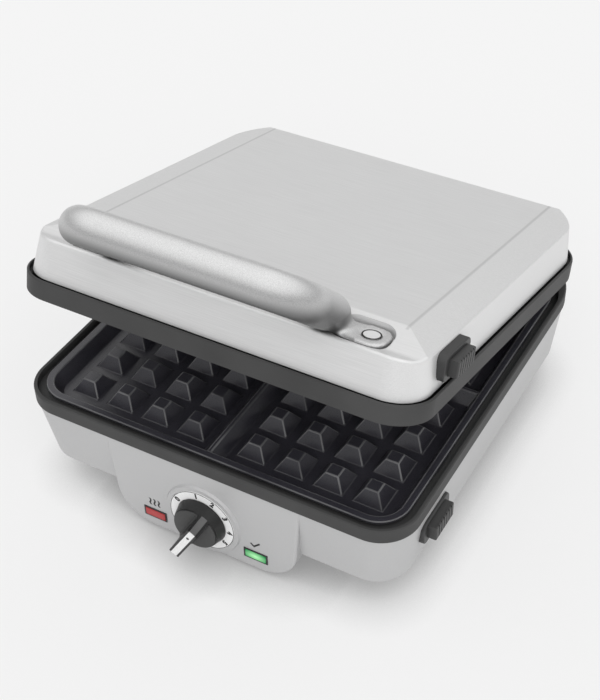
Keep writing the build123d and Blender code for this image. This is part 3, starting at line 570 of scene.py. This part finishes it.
brushed_steel = sheet_metal(
    "brushed_steel", dark=grey(0.71), light=grey(0.795),
    smooth=0.38, rough=0.48, stretch=(30, 2900, 2900), metal=0.45,
)
nodes, links, steel_colour, steel_tone = base_tone(brushed_steel)
level = nodes.new("ShaderNodeMapping")
level.inputs["Location"].default_value = close_lid.translation
level.inputs["Rotation"].default_value = (lid_tilt, 0, 0)
links.new(nodes["Texture Coordinate"].outputs["Object"], level.inputs["Vector"])
axes = split_axes(nodes, links, level.outputs["Vector"])
# Painted shadow: the foot of the cover goes black where it meets the rim, for the shaded gap there.
painted_gap_shadow = ramp(nodes, links, axes["Z"], gap_shadow_top - gap_shadow_fade, gap_shadow_top)
from_middle = work_out(nodes, links, "ABSOLUTE", axes["X"])
past_crease = work_out(nodes, links, "SUBTRACT", from_middle, crease_reach)
from_crease = work_out(nodes, links, "ABSOLUTE", past_crease)
on_top = work_out(nodes, links, "GREATER_THAN", axes["Z"], crease_low)
# Painted shade: a soft dark line along each bend of the top, on either side of the middle.
crease_shade_mask = ramp(nodes, links, from_crease, crease_half_width, crease_core, high=on_top)
tone_with_painted_crease = mix_tones(nodes, links, crease_shade_mask, steel_tone, painted_crease_shade)
links.new(mix_tones(nodes, links, painted_gap_shadow, gap_shadow_black, tone_with_painted_crease), steel_colour)
dress(brushed_steel, "lid_cover")

# Handle: a thick cast bar that flows into flat feet in the pockets of the cover. It is blasted to a
# grainy satin with painted shade on its underside, and each foot is held by a bolt under a smooth cap.
painted_under_shade = grey(0.22)
under_full = -0.4
under_none = 0.65
cast_grid = 0.0009
cast_rounds = 30
neck_rounds = 160
neck_height = 0.012
neck_gap = 0.0015
ring_radius = 0.0061
ring_width = 0.001
ring_height = 0.0003
rim_slack = 0.0001
blasted = sheet_metal(
    "blasted", dark=grey(0.64), light=grey(0.84),
    smooth=0.4, rough=0.52, stretch=(1500, 1500, 1500), relief=0.00004,
)
nodes, links, blasted_colour, blasted_tone = base_tone(blasted)
# Painted shade: the bar's colour darkens smoothly where its surface faces down.
facing = split_axes(nodes, links, nodes["Texture Coordinate"].outputs["Normal"])["Z"]
under_shade_mask = ramp(nodes, links, facing, under_full, under_none)
under_shade_mask.node.interpolation_type = "SMOOTHSTEP"
links.new(mix_tones(nodes, links, under_shade_mask, painted_under_shade, blasted_tone), blasted_colour)
cap_metal = sheet_metal(
    "cap_metal", dark=grey(0.84), light=grey(0.9),
    smooth=0.3, rough=0.4, stretch=(1800, 1800, 1800), relief=0.00001, metal=0.3,
)


def even_out(piece, rounds, group=""):
    """Smooth the active piece, all over or in one group of points."""
    flow = piece.modifiers.new("flow", "SMOOTH")
    flow.factor = 0.5
    flow.iterations = rounds
    flow.vertex_group = group
    bpy.ops.object.modifier_apply(modifier="flow")


cap_points = [point.co for point in frame["nodes"]["handle_caps"].data.vertices]
neck_top = max((close_lid @ point).z for point in cap_points) + neck_height
neck_end = min(abs(point.x) for point in cap_points) - neck_gap
handle_bar = copy_solid("handle_bar", "handle", (blasted,))
bpy.ops.object.mode_set(mode="OBJECT")
knit = handle_bar.modifiers.new("knit", "REMESH")
knit.mode = "VOXEL"
knit.voxel_size = cast_grid
bpy.ops.object.modifier_apply(modifier="knit")
even_out(handle_bar, cast_rounds)
necks = handle_bar.vertex_groups.new(name="necks")
for point in handle_bar.data.vertices:
    if (close_lid @ point.co).z < neck_top and abs(point.co.x) < neck_end:
        necks.add([point.index], 1, "REPLACE")
even_out(handle_bar, neck_rounds, "necks")
bpy.ops.object.shade_smooth()
settle(handle_bar, blasted, "lid")
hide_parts("handle")
dress(cap_metal, "handle_caps")

cap_axis = Vector((0, math.sin(lid_tilt), math.cos(lid_tilt)))
for side, x_sign in (("left", -1), ("right", 1)):
    own = [point for point in cap_points if point.x * x_sign > 0]
    top = max(point.dot(cap_axis) for point in own)
    rim = [point for point in own if top - point.dot(cap_axis) < rim_slack]
    low_corner = Vector([min(point[i] for point in rim) for i in range(3)])
    high_corner = Vector([max(point[i] for point in rim) for i in range(3)])
    ring_spot = (low_corner + high_corner) / 2
    ring = flat_ring(f"cap_ring_{side}", 64, ring_radius, ring_width, ring_spot, (-lid_tilt, 0, 0))
    thicken = ring.modifiers.new("thicken", "SOLIDIFY")
    thicken.thickness = ring_height
    thicken.offset = 0
    bpy.ops.object.modifier_apply(modifier="thicken")
    settle(ring, foot_rubber, "lid")

# Studio: a pale sweep of floor under an even sky, with a wide soft lamp from the right. Polished pieces
# see the pale floor and a sky that is darker low down. The floor keeps the shadow, and a painted
# contact shadow darkens it most close to what stands on it.
floor_size = 30
pale = grey(0.87)
seen_pale = grey(0.28)
own_glow = 0.62
painted_shadow_glow = 0.2
painted_shadow_reach = 0.043
painted_shadow_closed = 0.35
sky_light = 0.77
sky_seen = 0.9
sky_low = 0.22
sky_high = 1.1
sky_rise = 0.75
lamp_power = 1.25
lamp_spread = math.radians(80)
lamp_side = Vector((0.4, -0.6, 0.7))
bpy.ops.mesh.primitive_plane_add(size=floor_size, location=(0, 0, 0))
floor = bpy.context.object
floor.name = "floor"
floor_paint, nodes, links, shader, place = start_finish("floor_paint")
rays = nodes.new("ShaderNodeLightPath").outputs
shown = work_out(nodes, links, "MAXIMUM", rays["Is Camera Ray"], rays["Is Glossy Ray"])
shown = work_out(nodes, links, "MAXIMUM", shown, rays["Is Transmission Ray"])
links.new(mix_tones(nodes, links, shown, pale, seen_pale), shader.inputs["Base Color"])
# Painted shadow: the floor's own glow dims where things stand close over it.
painted_contact_shadow = nodes.new("ShaderNodeAmbientOcclusion")
painted_contact_shadow.samples = 6
painted_contact_shadow.inputs["Distance"].default_value = painted_shadow_reach
glow_with_painted_shadow = ramp(nodes, links, painted_contact_shadow.outputs["AO"], painted_shadow_closed, 1, painted_shadow_glow, own_glow)
links.new(ramp(nodes, links, shown, 0, 1, high=glow_with_painted_shadow), shader.inputs["Emission Strength"])
shader.inputs["Emission Color"].default_value = (1, 1, 1, 1)
shader.inputs["Roughness"].default_value = 0.9
shader.inputs["Specular IOR Level"].default_value = 0
floor.data.materials.append(floor_paint)

sky = bpy.data.worlds.new("studio_sky")
bpy.context.scene.world = sky
sky.use_nodes = True
nodes = sky.node_tree.nodes
links = sky.node_tree.links
rays = nodes.new("ShaderNodeLightPath").outputs
heading = nodes.new("ShaderNodeTexCoord").outputs["Generated"]
climb = ramp(nodes, links, split_axes(nodes, links, heading)["Z"], 0, sky_rise, sky_low, sky_high)
climb.node.interpolation_type = "SMOOTHSTEP"
polished = ramp(nodes, links, rays["Is Glossy Ray"], 0, 1, sky_light, climb)
seen = ramp(nodes, links, rays["Is Camera Ray"], 0, 1, polished, sky_seen)
background = nodes["Background"]
background.inputs["Color"].default_value = (1, 1, 1, 1)
links.new(seen, background.inputs["Strength"])

lamp_data = bpy.data.lights.new("soft_lamp", "SUN")
lamp_data.energy = lamp_power
lamp_data.angle = lamp_spread
lamp = bpy.data.objects.new("soft_lamp", lamp_data)
lamp.rotation_euler = lamp_side.to_track_quat("Z", "Y").to_euler()
lamp.visible_glossy = False
bpy.context.scene.collection.objects.link(lamp)

# Camera: it stands in front of the object, to the right and above the lid, where the photograph was
# taken from. Its place, turn and lens were solved from the rims, the plates and the dial.
camera_data = bpy.data.cameras.new("camera")
camera_data.lens = 71.05
camera_data.sensor_width = 36
camera = bpy.data.objects.new("camera", camera_data)
camera.location = (0.4402, -0.7625, 0.8415)
camera.rotation_euler = (math.radians(48.89), math.radians(1.46), math.radians(29.49))
bpy.context.scene.collection.objects.link(camera)
bpy.context.scene.camera = camera
